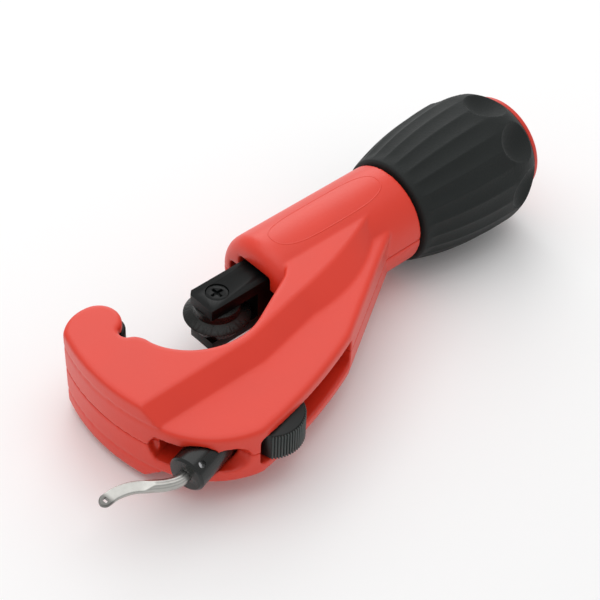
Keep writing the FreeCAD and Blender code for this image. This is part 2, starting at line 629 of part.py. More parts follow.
def slider_button():
    """Thumb piece that runs in the slot, with a stem down to the holder."""
    foot = -BUTTON_FOOT
    thumb = prism([(BUTTON_S0, foot), (BUTTON_S0, -12.6), ("via", 27.2, -BUTTON_PEAK),
                   (BUTTON_S1, -12.2), (BUTTON_S1, foot), (BUTTON_S0, foot)],
                  at, -BUTTON_HALF, BUTTON_HALF)
    s0 = BUTTON_S0 + STEM_MARGIN
    s1 = BUTTON_S1 - STEM_MARGIN
    stem_half = math.sqrt(HOLDER_R ** 2 - BUTTON_SEAT ** 2)
    stem = prism([(s0, foot), (s0, -BUTTON_SEAT), (s1, -BUTTON_SEAT), (s1, foot), (s0, foot)],
                 at, -stem_half, stem_half)
    write("slider_button", thumb.fuse(stem).removeSplitter())


def detent():
    """Ball and spring that hold the slider at each end of its travel."""
    bottom = HOLDER_R - DETENT_BORE_LEN
    centre = CHANNEL_R - DETENT_BALL_R - RUN_FIT
    write("detent_ball", Part.makeSphere(DETENT_BALL_R, at(DETENT_AT, centre)))
    coil_r = DETENT_BALL_R - SPRING_WIRE_R - 2 * RUN_FIT
    seat_r = coil_r / DETENT_BALL_R
    height = centre - DETENT_BALL_R * math.sqrt(1 - seat_r ** 2) - bottom - 2.6 * SPRING_WIRE_R
    helix = Part.makeHelix(height / SPRING_TURNS, height, coil_r)
    ring = Part.Wire(Part.makeCircle(SPRING_WIRE_R, Vector(coil_r, 0, 0), Vector(0, 1, 0)))
    coil = Part.Wire(helix).makePipeShell([ring], True, True)
    turn = FreeCAD.Rotation(Z_AXIS, ACROSS)
    coil.Placement = FreeCAD.Placement(at(DETENT_AT, bottom + 1.2 * SPRING_WIRE_R), turn)
    write("detent_spring", coil)


def main():
    os.makedirs("parts", exist_ok=True)
    frame_halves()
    frame_screws()
    rollers()
    cutter_slide()
    cutting_wheel()
    wheel_axle_screw()
    feed_screw()
    feed_nut()
    retaining_ring()
    thrust_washers()
    knob_grip()
    knob_core()
    knob_end_cap()
    reamer_holder()
    blade_set_screw()
    deburring_blade()
    slider_button()
    detent()


main()
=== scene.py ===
"""Looks of a hand pipe cutter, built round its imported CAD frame.

Each operator makes one piece or one group of like pieces and can be run again from the sidebar
panel's list. All sizes are in metres in the frame's own axes: +X runs along the feed screw towards
the knob, +Z along the pipe, +Y to the open side of the jaw."""
import json
import math

import bmesh
import bpy
from bpy.props import FloatProperty, FloatVectorProperty, IntProperty, PointerProperty
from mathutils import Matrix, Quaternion, Vector


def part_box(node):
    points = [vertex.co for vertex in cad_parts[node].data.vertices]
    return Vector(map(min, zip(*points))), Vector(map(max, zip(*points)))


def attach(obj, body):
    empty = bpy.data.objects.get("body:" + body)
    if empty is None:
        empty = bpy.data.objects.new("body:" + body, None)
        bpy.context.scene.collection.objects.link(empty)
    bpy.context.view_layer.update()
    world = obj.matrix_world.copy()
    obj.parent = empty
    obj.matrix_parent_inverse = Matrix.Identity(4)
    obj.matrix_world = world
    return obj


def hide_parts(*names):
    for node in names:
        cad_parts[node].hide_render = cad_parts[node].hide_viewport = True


bl_info = {
    "name": "Pipe Cutter Looks",
    "version": (1, 0, 0),
    "blender": (4, 5, 0),
    "location": "3D View > Sidebar > Pipe Cutter",
    "description": "Painted shells, rubber knob, cutter and deburring blade on a pipe cutter's CAD frame",
    "category": "Object",
}

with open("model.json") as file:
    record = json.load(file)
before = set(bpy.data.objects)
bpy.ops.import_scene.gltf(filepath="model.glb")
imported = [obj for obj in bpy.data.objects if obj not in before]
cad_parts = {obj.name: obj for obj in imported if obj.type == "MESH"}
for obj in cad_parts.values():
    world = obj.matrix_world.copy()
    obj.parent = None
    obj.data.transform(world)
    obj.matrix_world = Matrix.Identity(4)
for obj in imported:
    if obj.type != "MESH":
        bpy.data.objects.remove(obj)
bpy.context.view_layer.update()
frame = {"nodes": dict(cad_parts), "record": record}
MM = 0.001
SLOTS = {part["node"]: part["material_slot"] for part in frame["record"]["subparts"]}
BODIES = {node: body for body, nodes in frame["record"]["behaviour"]["bodies"].items() for node in nodes}

# Layout shared with the CAD source, in metres.
BARREL_X = (0.045, 0.095)
BARREL_R = 0.015
KNOB_X = 0.096
KNOB_LENGTH = 0.0464
KNOB_WIDEST_X = KNOB_X + 0.033
WHEEL_X = 0.032
GUIDEWAY_HALF = (0.0056, 0.0081)        # the slide's channel with its play, half width and half height
REAMER_ORIGIN = Vector((-0.0105, -0.0382, 0))
REAMER_DEG = 15.0
BLADE_TILT = 15.0
SET_SCREW_DEG = 50.0


# ---- node trees written as arithmetic ----
class Term:
    """A node socket that takes part in ordinary arithmetic; every sum or product adds a Math node."""

    def __init__(self, tree, socket):
        self.tree = tree
        self.socket = socket

    def math(self, operation, *others):
        node = self.tree.nodes.new("ShaderNodeMath")
        node.operation = operation
        for socket, value in zip(node.inputs, (self, *others)):
            feed(self.tree, socket, value)
        return Term(self.tree, node.outputs[0])

    def __add__(self, other):
        return self.math("ADD", other)

    def __sub__(self, other):
        return self.math("SUBTRACT", other)

    def __mul__(self, other):
        return self.math("MULTIPLY", other)

    def __truediv__(self, other):
        return self.math("DIVIDE", other)

    def __pow__(self, other):
        return self.math("POWER", other)

    def __neg__(self):
        return self.math("MULTIPLY", -1.0)

    def __rsub__(self, other):
        return -self + other

    __radd__ = __add__
    __rmul__ = __mul__


def feed(tree, socket, value):
    if isinstance(value, Term):
        tree.links.new(value.socket, socket)
    else:
        socket.default_value = value


def add(tree, kind, inputs=None, **settings):
    """Adds a node, sets its properties, and links or sets its inputs by name or number."""
    node = tree.nodes.new(kind)
    for name, value in settings.items():
        setattr(node, name, value)
    for key, value in (inputs or {}).items():
        feed(tree, node.inputs[key], value)
    return node


def term(tree, node, output=0):
    return Term(tree, node.outputs[output])


def remap(value, low, high, to_low=0.0, to_high=1.0):
    """Smoothly carries value from low..high to to_low..to_high, held at both ends."""
    node = add(value.tree, "ShaderNodeMapRange",
               {"Value": value, "From Min": low, "From Max": high, "To Min": to_low, "To Max": to_high},
               interpolation_type="SMOOTHSTEP")
    return term(value.tree, node)


# ---- materials ----
def noise(tree, place, size, detail=3.0, roughness=0.55):
    """Noise whose grains are about `size` metres across."""
    node = add(tree, "ShaderNodeTexNoise",
               {"Vector": place, "Scale": 1.0 / size, "Detail": detail, "Roughness": roughness})
    return term(tree, node)


def blend_colour(tree, factor, low, high):
    node = add(tree, "ShaderNodeMix", {"Factor": factor}, data_type="RGBA")
    feed(tree, node.inputs[6], low)
    feed(tree, node.inputs[7], high)
    return Term(tree, node.outputs[2])


def shade(colour, share):
    """The colour times share, with full opacity."""
    return (*(min(1.0, c * share) for c in colour[:3]), 1.0)


def new_finish(name, constants):
    """A Principled material with its constants on the shader's own sockets."""
    finish = bpy.data.materials.new(name)
    finish.use_nodes = True
    tree = finish.node_tree
    shader = tree.nodes["Principled BSDF"]
    for socket, value in constants.items():
        shader.inputs[socket].default_value = value
    place = term(tree, add(tree, "ShaderNodeTexCoord"), "Object")
    return finish, tree, shader, place


def bump(tree, shader, height, depth, strength=1.0):
    node = add(tree, "ShaderNodeBump", {"Height": height, "Distance": depth, "Strength": strength})
    tree.links.new(node.outputs[0], shader.inputs["Normal"])


def powder_coat(name, colour, roughness):
    """Satin powder coat: faint orange peel, cloudy gloss and slightly uneven colour."""
    finish, tree, shader, place = new_finish(name, {"Specular IOR Level": 0.5, "Coat Weight": 0.12,
                                                    "Coat Roughness": 0.3})
    clouds = noise(tree, place, 0.02, 2.0)
    peel = noise(tree, place, 0.0009, 2.0, 0.45)
    grain = noise(tree, place, 0.00022, 1.0)
    feed(tree, shader.inputs["Base Color"],
         blend_colour(tree, clouds, shade(colour, 0.93), shade(colour, 1.06)))
    feed(tree, shader.inputs["Roughness"], clouds * 0.1 + peel * 0.08 + (roughness - 0.09))
    bump(tree, shader, peel + grain * 0.35, 0.00005, 0.55)
    return finish


def soft_rubber(name, colour, roughness):
    """Moulded rubber: fine pitted skin, dusty sheen and blotches of lighter bloom."""
    finish, tree, shader, place = new_finish(name, {"Specular IOR Level": 0.26, "Sheen Weight": 0.03,
                                                    "Sheen Roughness": 0.5})
    bloom = noise(tree, place, 0.009, 4.0, 0.6)
    skin = noise(tree, place, 0.0006, 3.0, 0.6)
    pits = term(tree, add(tree, "ShaderNodeTexVoronoi", {"Vector": place, "Scale": 1500.0}), "Distance")
    feed(tree, shader.inputs["Base Color"],
         blend_colour(tree, bloom, shade(colour, 0.75), shade(colour, 1.35)))
    feed(tree, shader.inputs["Roughness"], bloom * 0.16 + skin * 0.1 + (roughness - 0.13))
    bump(tree, shader, skin + pits * 0.5, 0.00012, 0.6)
    return finish


def moulded_plastic(name, colour, roughness):
    """Hard plastic with the fine spark texture of its mould."""
    finish, tree, shader, place = new_finish(name, {"Specular IOR Level": 0.5})
    drift = noise(tree, place, 0.006, 3.0)
    spark = noise(tree, place, 0.00025, 2.0)
    feed(tree, shader.inputs["Base Color"],
         blend_colour(tree, drift, shade(colour, 0.85), shade(colour, 1.2)))
    feed(tree, shader.inputs["Roughness"], drift * 0.12 + spark * 0.08 + (roughness - 0.1))
    bump(tree, shader, spark, 0.00003, 0.5)
    return finish


def turned_metal(name, colour, roughness, metallic, centre=None, specular=0.5, pitch=0.00022):
    """Metal with tool marks: rings about a Z axis through centre, or fine grinding along X."""
    finish, tree, shader, place = new_finish(name, {"Metallic": metallic, "Specular IOR Level": specular})
    patches = noise(tree, place, 0.004, 4.0)
    scuffs = noise(tree, place, 0.0004, 3.0, 0.6)
    if centre is None:
        stretched = add(tree, "ShaderNodeVectorMath", {0: place, 1: (90.0, 2600.0, 2600.0)},
                        operation="MULTIPLY")
        marks = term(tree, add(tree, "ShaderNodeTexNoise",
                               {"Vector": term(tree, stretched), "Scale": 1.0, "Detail": 2.0}))
    else:
        moved = add(tree, "ShaderNodeVectorMath", {0: place, 1: tuple(-c for c in centre)}, operation="ADD")
        flat = add(tree, "ShaderNodeVectorMath", {0: term(tree, moved), 1: (1.0, 1.0, 0.0)},
                   operation="MULTIPLY")
        radius = term(tree, add(tree, "ShaderNodeVectorMath", {0: term(tree, flat)}, operation="LENGTH"),
                      "Value")
        marks = (radius * (math.tau / pitch)).math("SINE") * 0.5 + scuffs * 0.5
    feed(tree, shader.inputs["Base Color"],
         blend_colour(tree, patches, shade(colour, 0.72), shade(colour, 1.25)))
    feed(tree, shader.inputs["Roughness"], patches * 0.18 + scuffs * 0.1 + (roughness - 0.14))
    bump(tree, shader, marks + scuffs * 0.4, 0.00002, 0.6)
    return finish


def hardened_steel(name, colour, roughness):
    """Bright forged steel whose colour is made darker towards the blade's tip."""
    finish, tree, shader, place = new_finish(name, {"Metallic": 1.0})
    clouds = noise(tree, place, 0.0025, 4.0)
    scuffs = noise(tree, place, 0.0004, 3.0, 0.6)
    slide = reamer_point(1.0, 0.0) - REAMER_ORIGIN
    slide.normalize()
    along = term(tree, add(tree, "ShaderNodeVectorMath", {0: place, 1: tuple(slide)},
                           operation="DOT_PRODUCT"), "Value") - REAMER_ORIGIN.dot(slide)
    darkest, undarkened = -0.0186, -0.0168       # metres along the slide
    tip = remap(along, darkest, undarkened, 0.8, 0.0)
    steel = blend_colour(tree, clouds, shade(colour, 0.75), shade(colour, 1.25))
    # The base colour is blended towards a dark share of itself near the blade's tip.
    feed(tree, shader.inputs["Base Color"], blend_colour(tree, tip, steel, shade(colour, 0.2)))
    feed(tree, shader.inputs["Roughness"], clouds * 0.16 + scuffs * 0.1 + (roughness - 0.13))
    bump(tree, shader, scuffs, 0.00002, 0.6)
    return finish


FINISHES = {}


def finish_for(slot):
    """The finish of one of the record's slots, or of the thumb piece's ribs, made on first use."""
    if slot in FINISHES:
        return FINISHES[slot]
    looks = bpy.context.scene
    paint, knob, cutter, reamer = (looks.pc_frame, looks.pc_knob, looks.pc_cutter, looks.pc_reamer)
    makers = {
        "red_paint": lambda n: powder_coat(n, paint.paint, paint.paint_roughness),
        "screw_steel": lambda n: turned_metal(n, paint.screw_colour, 0.4, 1.0),
        "black_oxide_steel": lambda n: turned_metal(n, cutter.slide_colour, 0.34, 0.0, specular=0.13),
        "black_oxide_wheel": lambda n: turned_metal(n, cutter.wheel_colour, 0.28, 0.2,
                                                    centre=(WHEEL_X, 0, 0), specular=0.35),
        "bright_steel": lambda n: turned_metal(n, (0.62, 0.62, 0.63), 0.28, 1.0),
        "nut_brass": lambda n: turned_metal(n, (0.68, 0.52, 0.24), 0.34, 1.0),
        "red_plastic": lambda n: moulded_plastic(n, knob.ring_colour, 0.36),
        "grip_rubber": lambda n: soft_rubber(n, knob.rubber, knob.rubber_roughness),
        "button_plastic": lambda n: moulded_plastic(n, reamer.button_colour, 0.56),
        "rib_plastic": lambda n: moulded_plastic(n, reamer.rib_colour, 0.5),
        "holder_plastic": lambda n: moulded_plastic(n, reamer.holder_colour, 0.26),
        "blade_steel": lambda n: hardened_steel(n, reamer.blade_colour, 0.3),
    }
    FINISHES[slot] = makers[slot](slot + "_finish")
    return FINISHES[slot]


# ---- meshes ----
def new_piece(name, mesh):
    old = bpy.data.objects.get(name)
    if old is not None:
        bpy.data.objects.remove(old)
    piece = bpy.data.objects.new(name, mesh)
    bpy.context.scene.collection.objects.link(piece)
    return piece


def mesh_from(name, corners, faces):
    mesh = bpy.data.meshes.new(name)
    mesh.from_pydata([tuple(c) for c in corners], [], faces)
    mesh.update()
    return mesh


def outward(piece):
    """Turns every face of a closed mesh outwards."""
    grid = bmesh.new()
    grid.from_mesh(piece.data)
    bmesh.ops.recalc_face_normals(grid, faces=grid.faces)
    grid.to_mesh(piece.data)
    grid.free()


def carve(piece, corners):
    """Cuts a block out of the piece; returns the cutter, which is removed once the piece is settled."""
    faces = [(3, 2, 1, 0), (4, 5, 6, 7), (0, 1, 5, 4), (1, 2, 6, 5), (2, 3, 7, 6), (3, 0, 4, 7)]
    block = new_piece("cutter_block", mesh_from("cutter_block", corners, faces))
    cut = piece.modifiers.new("cut", "BOOLEAN")
    cut.object = block
    cut.operation = "DIFFERENCE"
    cut.solver = "EXACT"
    return block


def break_edges(piece, width, sharp_deg, harden=False):
    """Adds a two-step bevel along every edge sharper than sharp_deg."""
    bevel = piece.modifiers.new("edges", "BEVEL")
    bevel.width = width
    bevel.segments = 2
    bevel.limit_method = "ANGLE"
    bevel.angle_limit = math.radians(sharp_deg)
    bevel.harden_normals = harden


def merged_copy(node, name, flat_deg=None):
    """A copy of a CAD node as one closed mesh; with flat_deg, its flat faces are joined up."""
    grid = bmesh.new()
    grid.from_mesh(frame["nodes"][node].data)
    bmesh.ops.remove_doubles(grid, verts=grid.verts, dist=2e-6)
    if flat_deg is not None:
        bmesh.ops.dissolve_limit(grid, angle_limit=math.radians(flat_deg), verts=grid.verts,
                                 edges=grid.edges)
    mesh = bpy.data.meshes.new(name)
    grid.to_mesh(mesh)
    grid.free()
    mesh.materials.clear()
    return new_piece(name, mesh)


def settle(piece, smooth_deg=38.0):
    """Turns the modifiers into plain mesh and smooths all but the sharp edges."""
    graph = bpy.context.evaluated_depsgraph_get()
    mesh = bpy.data.meshes.new_from_object(piece.evaluated_get(graph))
    piece.modifiers.clear()
    piece.data = mesh
    mesh.name = piece.name
    mesh.shade_smooth()
    if smooth_deg is not None:
        mesh.set_sharp_from_angle(angle=math.radians(smooth_deg))


def dress(piece, slot, nodes):
    """Gives the piece its finish and hands it to the body of the CAD nodes that it stands for."""
    piece.data.materials.clear()
    piece.data.materials.append(finish_for(slot))
    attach(piece, BODIES[nodes[0]])
    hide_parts(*nodes)


def dress_node(node):
    """Finishes a CAD node that is shown as it is."""
    data = frame["nodes"][node].data
    data.materials.clear()
    data.materials.append(finish_for(SLOTS[node]))


def bevelled(node, name, width, flat_deg=3.0):
    """A CAD node with its edges broken by a small bevel."""
    piece = merged_copy(node, name, flat_deg)
    piece.data.shade_smooth()
    break_edges(piece, width, 32, harden=True)
    settle(piece, None)
    dress(piece, SLOTS[node], [node])


def lathe(name, outline, turns):
    """A closed (x, radius, relief) outline turned about the X axis.

    relief is how far, from 0 to 1, a point takes part in the surface pattern."""
    rows = len(outline)
    corners = []
    share = []
    for i in range(turns):
        angle = math.tau * i / turns
        for x, r, part in outline:
            corners.append((x, r * math.sin(angle), r * math.cos(angle)))
            share.append(part)
    faces = []
    for i in range(turns):
        here, there = i * rows, (i + 1) % turns * rows
        for j in range(rows):
            k = (j + 1) % rows
            faces.append((here + j, here + k, there + k, there + j))
    mesh = mesh_from(name, corners, faces)
    attribute = mesh.attributes.new("relief", "FLOAT", "POINT")
    attribute.data.foreach_set("value", share)
    return mesh


def arc(start, via, end, steps):
    """Points along the circle through three (x, r) points, both ends included."""
    ax, ay, bx, by, cx, cy = (*start, *via, *end)
    d = 2 * (ax * (by - cy) + bx * (cy - ay) + cx * (ay - by))
    ux = ((ax * ax + ay * ay) * (by - cy) + (bx * bx + by * by) * (cy - ay)
          + (cx * cx + cy * cy) * (ay - by)) / d
    uy = ((ax * ax + ay * ay) * (cx - bx) + (bx * bx + by * by) * (ax - cx)
          + (cx * cx + cy * cy) * (bx - ax)) / d
    radius = math.hypot(ax - ux, ay - uy)
    a0 = math.atan2(ay - uy, ax - ux)
    a2 = math.atan2(cy - uy, cx - ux)
    sweep = (a2 - a0 + math.pi) % math.tau - math.pi
    return [(ux + radius * math.cos(a0 + sweep * i / steps), uy + radius * math.sin(a0 + sweep * i / steps))
            for i in range(steps + 1)]


def smooth_line(points, steps):
    """A Catmull-Rom line through the points, as a list of vectors."""
    ring = [Vector(p) for p in points]
    ring = [2 * ring[0] - ring[1], *ring, 2 * ring[-1] - ring[-2]]
    line = []
    for a, b, c, d in zip(ring, ring[1:], ring[2:], ring[3:]):
        for i in range(steps):
            t = i / steps
            line.append(0.5 * (2 * b + (c - a) * t + (2 * a - 5 * b + 4 * c - d) * t * t
                               + (3 * b - a - 3 * c + d) * t ** 3))
    line.append(ring[-2])
    return line


def squarish(value, power):
    """value raised to a power with its sign kept; powers under 1 square off a circle."""
    return math.copysign(abs(value) ** power, value)


def smooth_share(t):
    t = min(1.0, max(0.0, t))
    return t * t * (3 - 2 * t)


def reamer_point(s, n, z=0.0):
    """A point given in millimetres along (s) and across (n) the deburring slide."""
    a = math.radians(REAMER_DEG)
    along = Vector((math.cos(a), math.sin(a), 0))
    across = Vector((-math.sin(a), math.cos(a), 0))
    return REAMER_ORIGIN + along * s * MM + across * n * MM + Vector((0, 0, z * MM))


# ---- Geometry Nodes ----
def node_group(name, sizes):
    """An empty geometry tree with named inputs; returns the tree, its geometry and its inputs."""
    tree = bpy.data.node_groups.new(name, "GeometryNodeTree")
    tree.interface.new_socket("Geometry", in_out="INPUT", socket_type="NodeSocketGeometry")
    for label, kind in sizes.items():
        tree.interface.new_socket(label, in_out="INPUT", socket_type="NodeSocket" + kind)
    tree.interface.new_socket("Finish", in_out="INPUT", socket_type="NodeSocketMaterial")
    tree.interface.new_socket("Geometry", in_out="OUTPUT", socket_type="NodeSocketGeometry")
    entry = tree.nodes.new("NodeGroupInput")
    return tree, {label: Term(tree, entry.outputs[label]) for label in ("Geometry", *sizes, "Finish")}


def close_group(tree, given, geometry):
    """Ends a tree in Realize Instances and Set Material."""
    whole = add(tree, "GeometryNodeRealizeInstances", {"Geometry": geometry})
    painted = add(tree, "GeometryNodeSetMaterial",
                  {"Geometry": term(tree, whole), "Material": given["Finish"]})
    end = tree.nodes.new("NodeGroupOutput")
    tree.links.new(painted.outputs[0], end.inputs["Geometry"])


def grow(piece, tree, values):
    """Runs a geometry tree on the piece with the given named values."""
    modifier = piece.modifiers.new(tree.name, "NODES")
    modifier.node_group = tree
    for item in tree.interface.items_tree:
        if item.in_out == "INPUT" and item.name in values:
            modifier[item.identifier] = values[item.name]


def polar(tree):
    """The current point's x, its distance from the X axis and its angle about it."""
    spot = add(tree, "ShaderNodeSeparateXYZ", {0: term(tree, add(tree, "GeometryNodeInputPosition"))})
    x, y, z = (term(tree, spot, i) for i in range(3))
    return x, (y * y + z * z).math("SQRT"), y.math("ARCTAN2", z), y, z


def relief_share(tree):
    """How far the current point takes part in a pattern, as lathe stored it."""
    return term(tree, add(tree, "GeometryNodeInputNamedAttribute", {"Name": "relief"}, data_type="FLOAT"))


def pull_in(tree, geometry, depth, radius, y, z):
    """Moves points towards the X axis by depth."""
    share = (depth / radius) * -1.0
    move = add(tree, "ShaderNodeCombineXYZ", {1: y * share, 2: z * share})
    return term(tree, add(tree, "GeometryNodeSetPosition",
                          {"Geometry": geometry, "Offset": term(tree, move)}))


def grip_tree():
    """Long shallow flutes with thin ridges between them, and thumb scallops round the far end."""
    sizes = {"Front": "Float", "Length": "Float", "Flutes": "Int", "Flute Depth": "Float",
             "Scallops": "Int", "Scallop Radius": "Float", "Scallop Axis": "Float",
             "Scallop Centre": "Float", "Scallop Stretch": "Float"}
    tree, given = node_group("grip_relief", sizes)
    x, radius, angle, y, z = polar(tree)
    share = relief_share(tree)
    along = (x - given["Front"]) / given["Length"]
    bow = (angle * given["Flutes"] / math.tau).math("FRACT") * 2.0 - 1.0
    fade = remap(along, 0.0, 0.1) * remap(along, 0.5, 0.85, 1.0, 0.0)
    flutes = (1.0 - bow * bow) * fade * given["Flute Depth"]
    sector = (angle * given["Scallops"] / math.tau + 0.5).math("FRACT") - 0.5
    turn = sector * math.tau / given["Scallops"]
    offset = (x - given["Scallop Centre"]) / given["Scallop Stretch"]
    beside = turn.math("SINE") * given["Scallop Axis"]
    inside = given["Scallop Radius"] ** 2.0 - offset * offset - beside * beside
    floor = turn.math("COSINE") * given["Scallop Axis"] - inside.math("MAXIMUM", 0.0).math("SQRT")
    hollow = (radius - floor).math("MAXIMUM", 0.0) * inside.math("GREATER_THAN", 0.0)
    depth = hollow.math("SMOOTH_MAX", flutes, 0.00012) * share
    close_group(tree, given, pull_in(tree, given["Geometry"], depth, radius, y, z))
    return tree


def thread_tree():
    """A left-hand screw thread sunk into a plain rod along X."""
    tree, given = node_group("screw_thread", {"Pitch": "Float", "Depth": "Float"})
    x, radius, angle, y, z = polar(tree)
    share = relief_share(tree)
    turn = x / given["Pitch"] - angle * (1.0 / math.tau)
    ramp = (turn.math("FRACT") * 2.0 - 1.0).math("ABSOLUTE")
    crest, root = 0.12, 0.88                    # shares of half a pitch
    depth = remap(ramp, crest, root) * given["Depth"] * share
    close_group(tree, given, pull_in(tree, given["Geometry"], depth, radius, y, z))
    return tree


def rib_tree():
    """Upright ribs set at even steps along the thumb piece's curved face."""
    sizes = {"Start": "Vector", "Peak": "Vector", "End": "Vector", "Ribs": "Int", "Width": "Float",
             "Height": "Float", "Length": "Float"}
    tree, given = node_group("thumb_ribs", sizes)
    curve = add(tree, "GeometryNodeCurveArc", mode="POINTS")
    points = [socket for socket in curve.inputs if socket.type == "VECTOR"]
    for socket, label in zip(points, ("Start", "Peak", "End")):
        feed(tree, socket, given[label])
    line = term(tree, add(tree, "GeometryNodeResampleCurve",
                          {"Curve": term(tree, curve), "Count": given["Ribs"]}))
    size = add(tree, "ShaderNodeCombineXYZ", {0: given["Width"], 1: given["Height"], 2: given["Length"]})
    rib = term(tree, add(tree, "GeometryNodeMeshCube", {"Size": term(tree, size)}))
    tangent = term(tree, add(tree, "GeometryNodeInputTangent"))
    turned = term(tree, add(tree, "FunctionNodeAlignRotationToVector", {"Vector": tangent}, axis="X"))
    ribs = add(tree, "GeometryNodeInstanceOnPoints", {"Points": line, "Instance": rib, "Rotation": turned})
    close_group(tree, given, term(tree, ribs))
    return tree


# ---- sizes and colours that a user would change ----
def colour_of(label, text, default):
    return FloatVectorProperty(name=label, description=text, default=default, subtype="COLOR",
                               min=0.0, max=1.0, size=3)


def length_of(label, text, default, low=0.0):
    return FloatProperty(name=label, description=text, default=default, min=low, unit="LENGTH", precision=5)


class FrameLooks(bpy.types.PropertyGroup):
    paint: colour_of("Paint", "Powder coat on both shells", (0.72, 0.034, 0.012))
    paint_roughness: FloatProperty(name="Paint Roughness", description="Mean roughness of the powder coat",
                                   default=0.42, min=0.05, max=1.0, subtype="FACTOR")
    screw_colour: colour_of("Screws", "Zinc plate on the frame screws", (0.42, 0.42, 0.43))
    cast_detail: length_of("Cast Detail", "Size of the smallest detail kept on the cast shells",
                           0.00042, 0.0001)
    softening: IntProperty(name="Softening", description="Smoothing passes that round the cast edges",
                           default=7, min=0, max=30)
    badge_line: length_of("Badge Line", "Width of the oval bead on the barrel", 0.00045)


class KnobLooks(bpy.types.PropertyGroup):
    rubber: colour_of("Rubber", "Colour of the grip", (0.010, 0.0125, 0.0120))
    rubber_roughness: FloatProperty(name="Rubber Roughness", description="Mean roughness of the grip",
                                    default=0.66, min=0.05, max=1.0, subtype="FACTOR")
    ring_colour: colour_of("Ring", "Hard plastic core, end ring and cap", (0.62, 0.030, 0.014))
    flutes: IntProperty(name="Flutes", description="Long flutes round the grip", default=24, min=4, max=60)
    flute_depth: length_of("Flute Depth", "Depth of the long flutes", 0.00055)
    scallops: IntProperty(name="Scallops", description="Thumb scallops round the far end",
                          default=8, min=3, max=20)
    scallop_depth: length_of("Scallop Depth", "Depth of the thumb scallops", 0.0031)
    scallop_radius: length_of("Scallop Radius", "Roundness of the thumb scallops", 0.0088, 0.001)


class CutterLooks(bpy.types.PropertyGroup):
    slide_colour: colour_of("Slide", "Black oxide on the slide", (0.0035, 0.0042, 0.0042))
    wheel_colour: colour_of("Wheel", "Black oxide on the cutting wheel", (0.010, 0.011, 0.010))
    edge: length_of("Edge", "Broken edge on the machined pieces", 0.00018)
    pitch: length_of("Thread Pitch", "Pitch of the feed screw", 0.0025, 0.0005)
    thread_depth: length_of("Thread Depth", "Depth of the feed screw's thread", 0.0007)


class ReamerLooks(bpy.types.PropertyGroup):
    button_colour: colour_of("Button", "Plastic of the thumb piece", (0.006, 0.0075, 0.007))
    # The ribs are given a lighter colour than the thumb piece's body.
    rib_colour: colour_of("Ribs Colour", "Lighter plastic on the thumb piece's ribs", (0.030, 0.038, 0.036))
    holder_colour: colour_of("Holder", "Plastic of the blade holder", (0.0035, 0.0045, 0.004))
    blade_colour: colour_of("Blade", "Steel of the deburring blade", (0.46, 0.455, 0.43))
    ribs: IntProperty(name="Ribs", description="Ribs on the thumb piece", default=22, min=3, max=40)
    rib_height: length_of("Rib Height", "Height of a rib above the thumb piece's body", 0.0004)
    edge: length_of("Edge", "Broken edge on the holder and the thumb piece", 0.00035)


class StageLooks(bpy.types.PropertyGroup):
    floor_colour: colour_of("Floor", "Pale floor", (0.93, 0.93, 0.93))
    world_light: FloatProperty(name="Room Light", description="Strength of the white room",
                               default=0.62, min=0.0)
    key_light: FloatProperty(name="Key Light", description="Power of the large overhead lamp", default=3.3,
                             min=0.0, unit="POWER")
    azimuth: FloatProperty(name="Azimuth", description="Camera's turn about the vertical", subtype="ANGLE",
                           default=math.radians(-44.27))
    elevation: FloatProperty(name="Elevation", description="Camera's height above the horizon",
                             subtype="ANGLE", default=math.radians(44.06))
    roll: FloatProperty(name="Roll", description="Camera's turn about its own axis", subtype="ANGLE",
                        default=math.radians(2.64))
    distance: length_of("Distance", "From the aim point to the camera", 0.4685)
    aim: FloatVectorProperty(name="Aim", description="Point in the middle of the view", subtype="XYZ",
                             unit="LENGTH", default=(0.0658, 0.0030, -0.0189))
    lens: FloatProperty(name="Lens", description="Focal length for a 36 mm sensor", default=97.6, min=10.0,
                        unit="CAMERA")


# ---- frame ----
def in_guideway(spot):
    """True inside the barrel, where the slide needs its corners sharp."""
    return (BARREL_X[0] + MM < spot.x < BARREL_X[1] and abs(spot.y) < GUIDEWAY_HALF[0]
            and abs(spot.z) < GUIDEWAY_HALF[1])


class PC_OT_frame_shells(bpy.types.Operator):
    """Cast shells with rounded edges and a satin coat"""
    bl_idname = "pipecutter.frame_shells"
    bl_label = "Frame Shells"

    def execute(self, context):
        looks = context.scene.pc_frame
        for node, name in (("frame_upper_half", "upper_shell"), ("frame_lower_half", "lower_shell")):
            shell = merged_copy(node, name)
            remesh = shell.modifiers.new("cast", "REMESH")
            remesh.mode = "VOXEL"
            remesh.voxel_size = looks.cast_detail
            settle(shell, None)
            skin = shell.vertex_groups.new(name="cast_skin")
            skin.add([v.index for v in shell.data.vertices if not in_guideway(v.co)], 1.0, "REPLACE")
            soften = shell.modifiers.new("soften", "SMOOTH")
            soften.factor = 0.5
            soften.iterations = looks.softening
            soften.vertex_group = skin.name
            thin = shell.modifiers.new("thin", "DECIMATE")
            thin.ratio = 0.55
            settle(shell, None)
            dress(shell, "red_paint", [node])
        return {"FINISHED"}


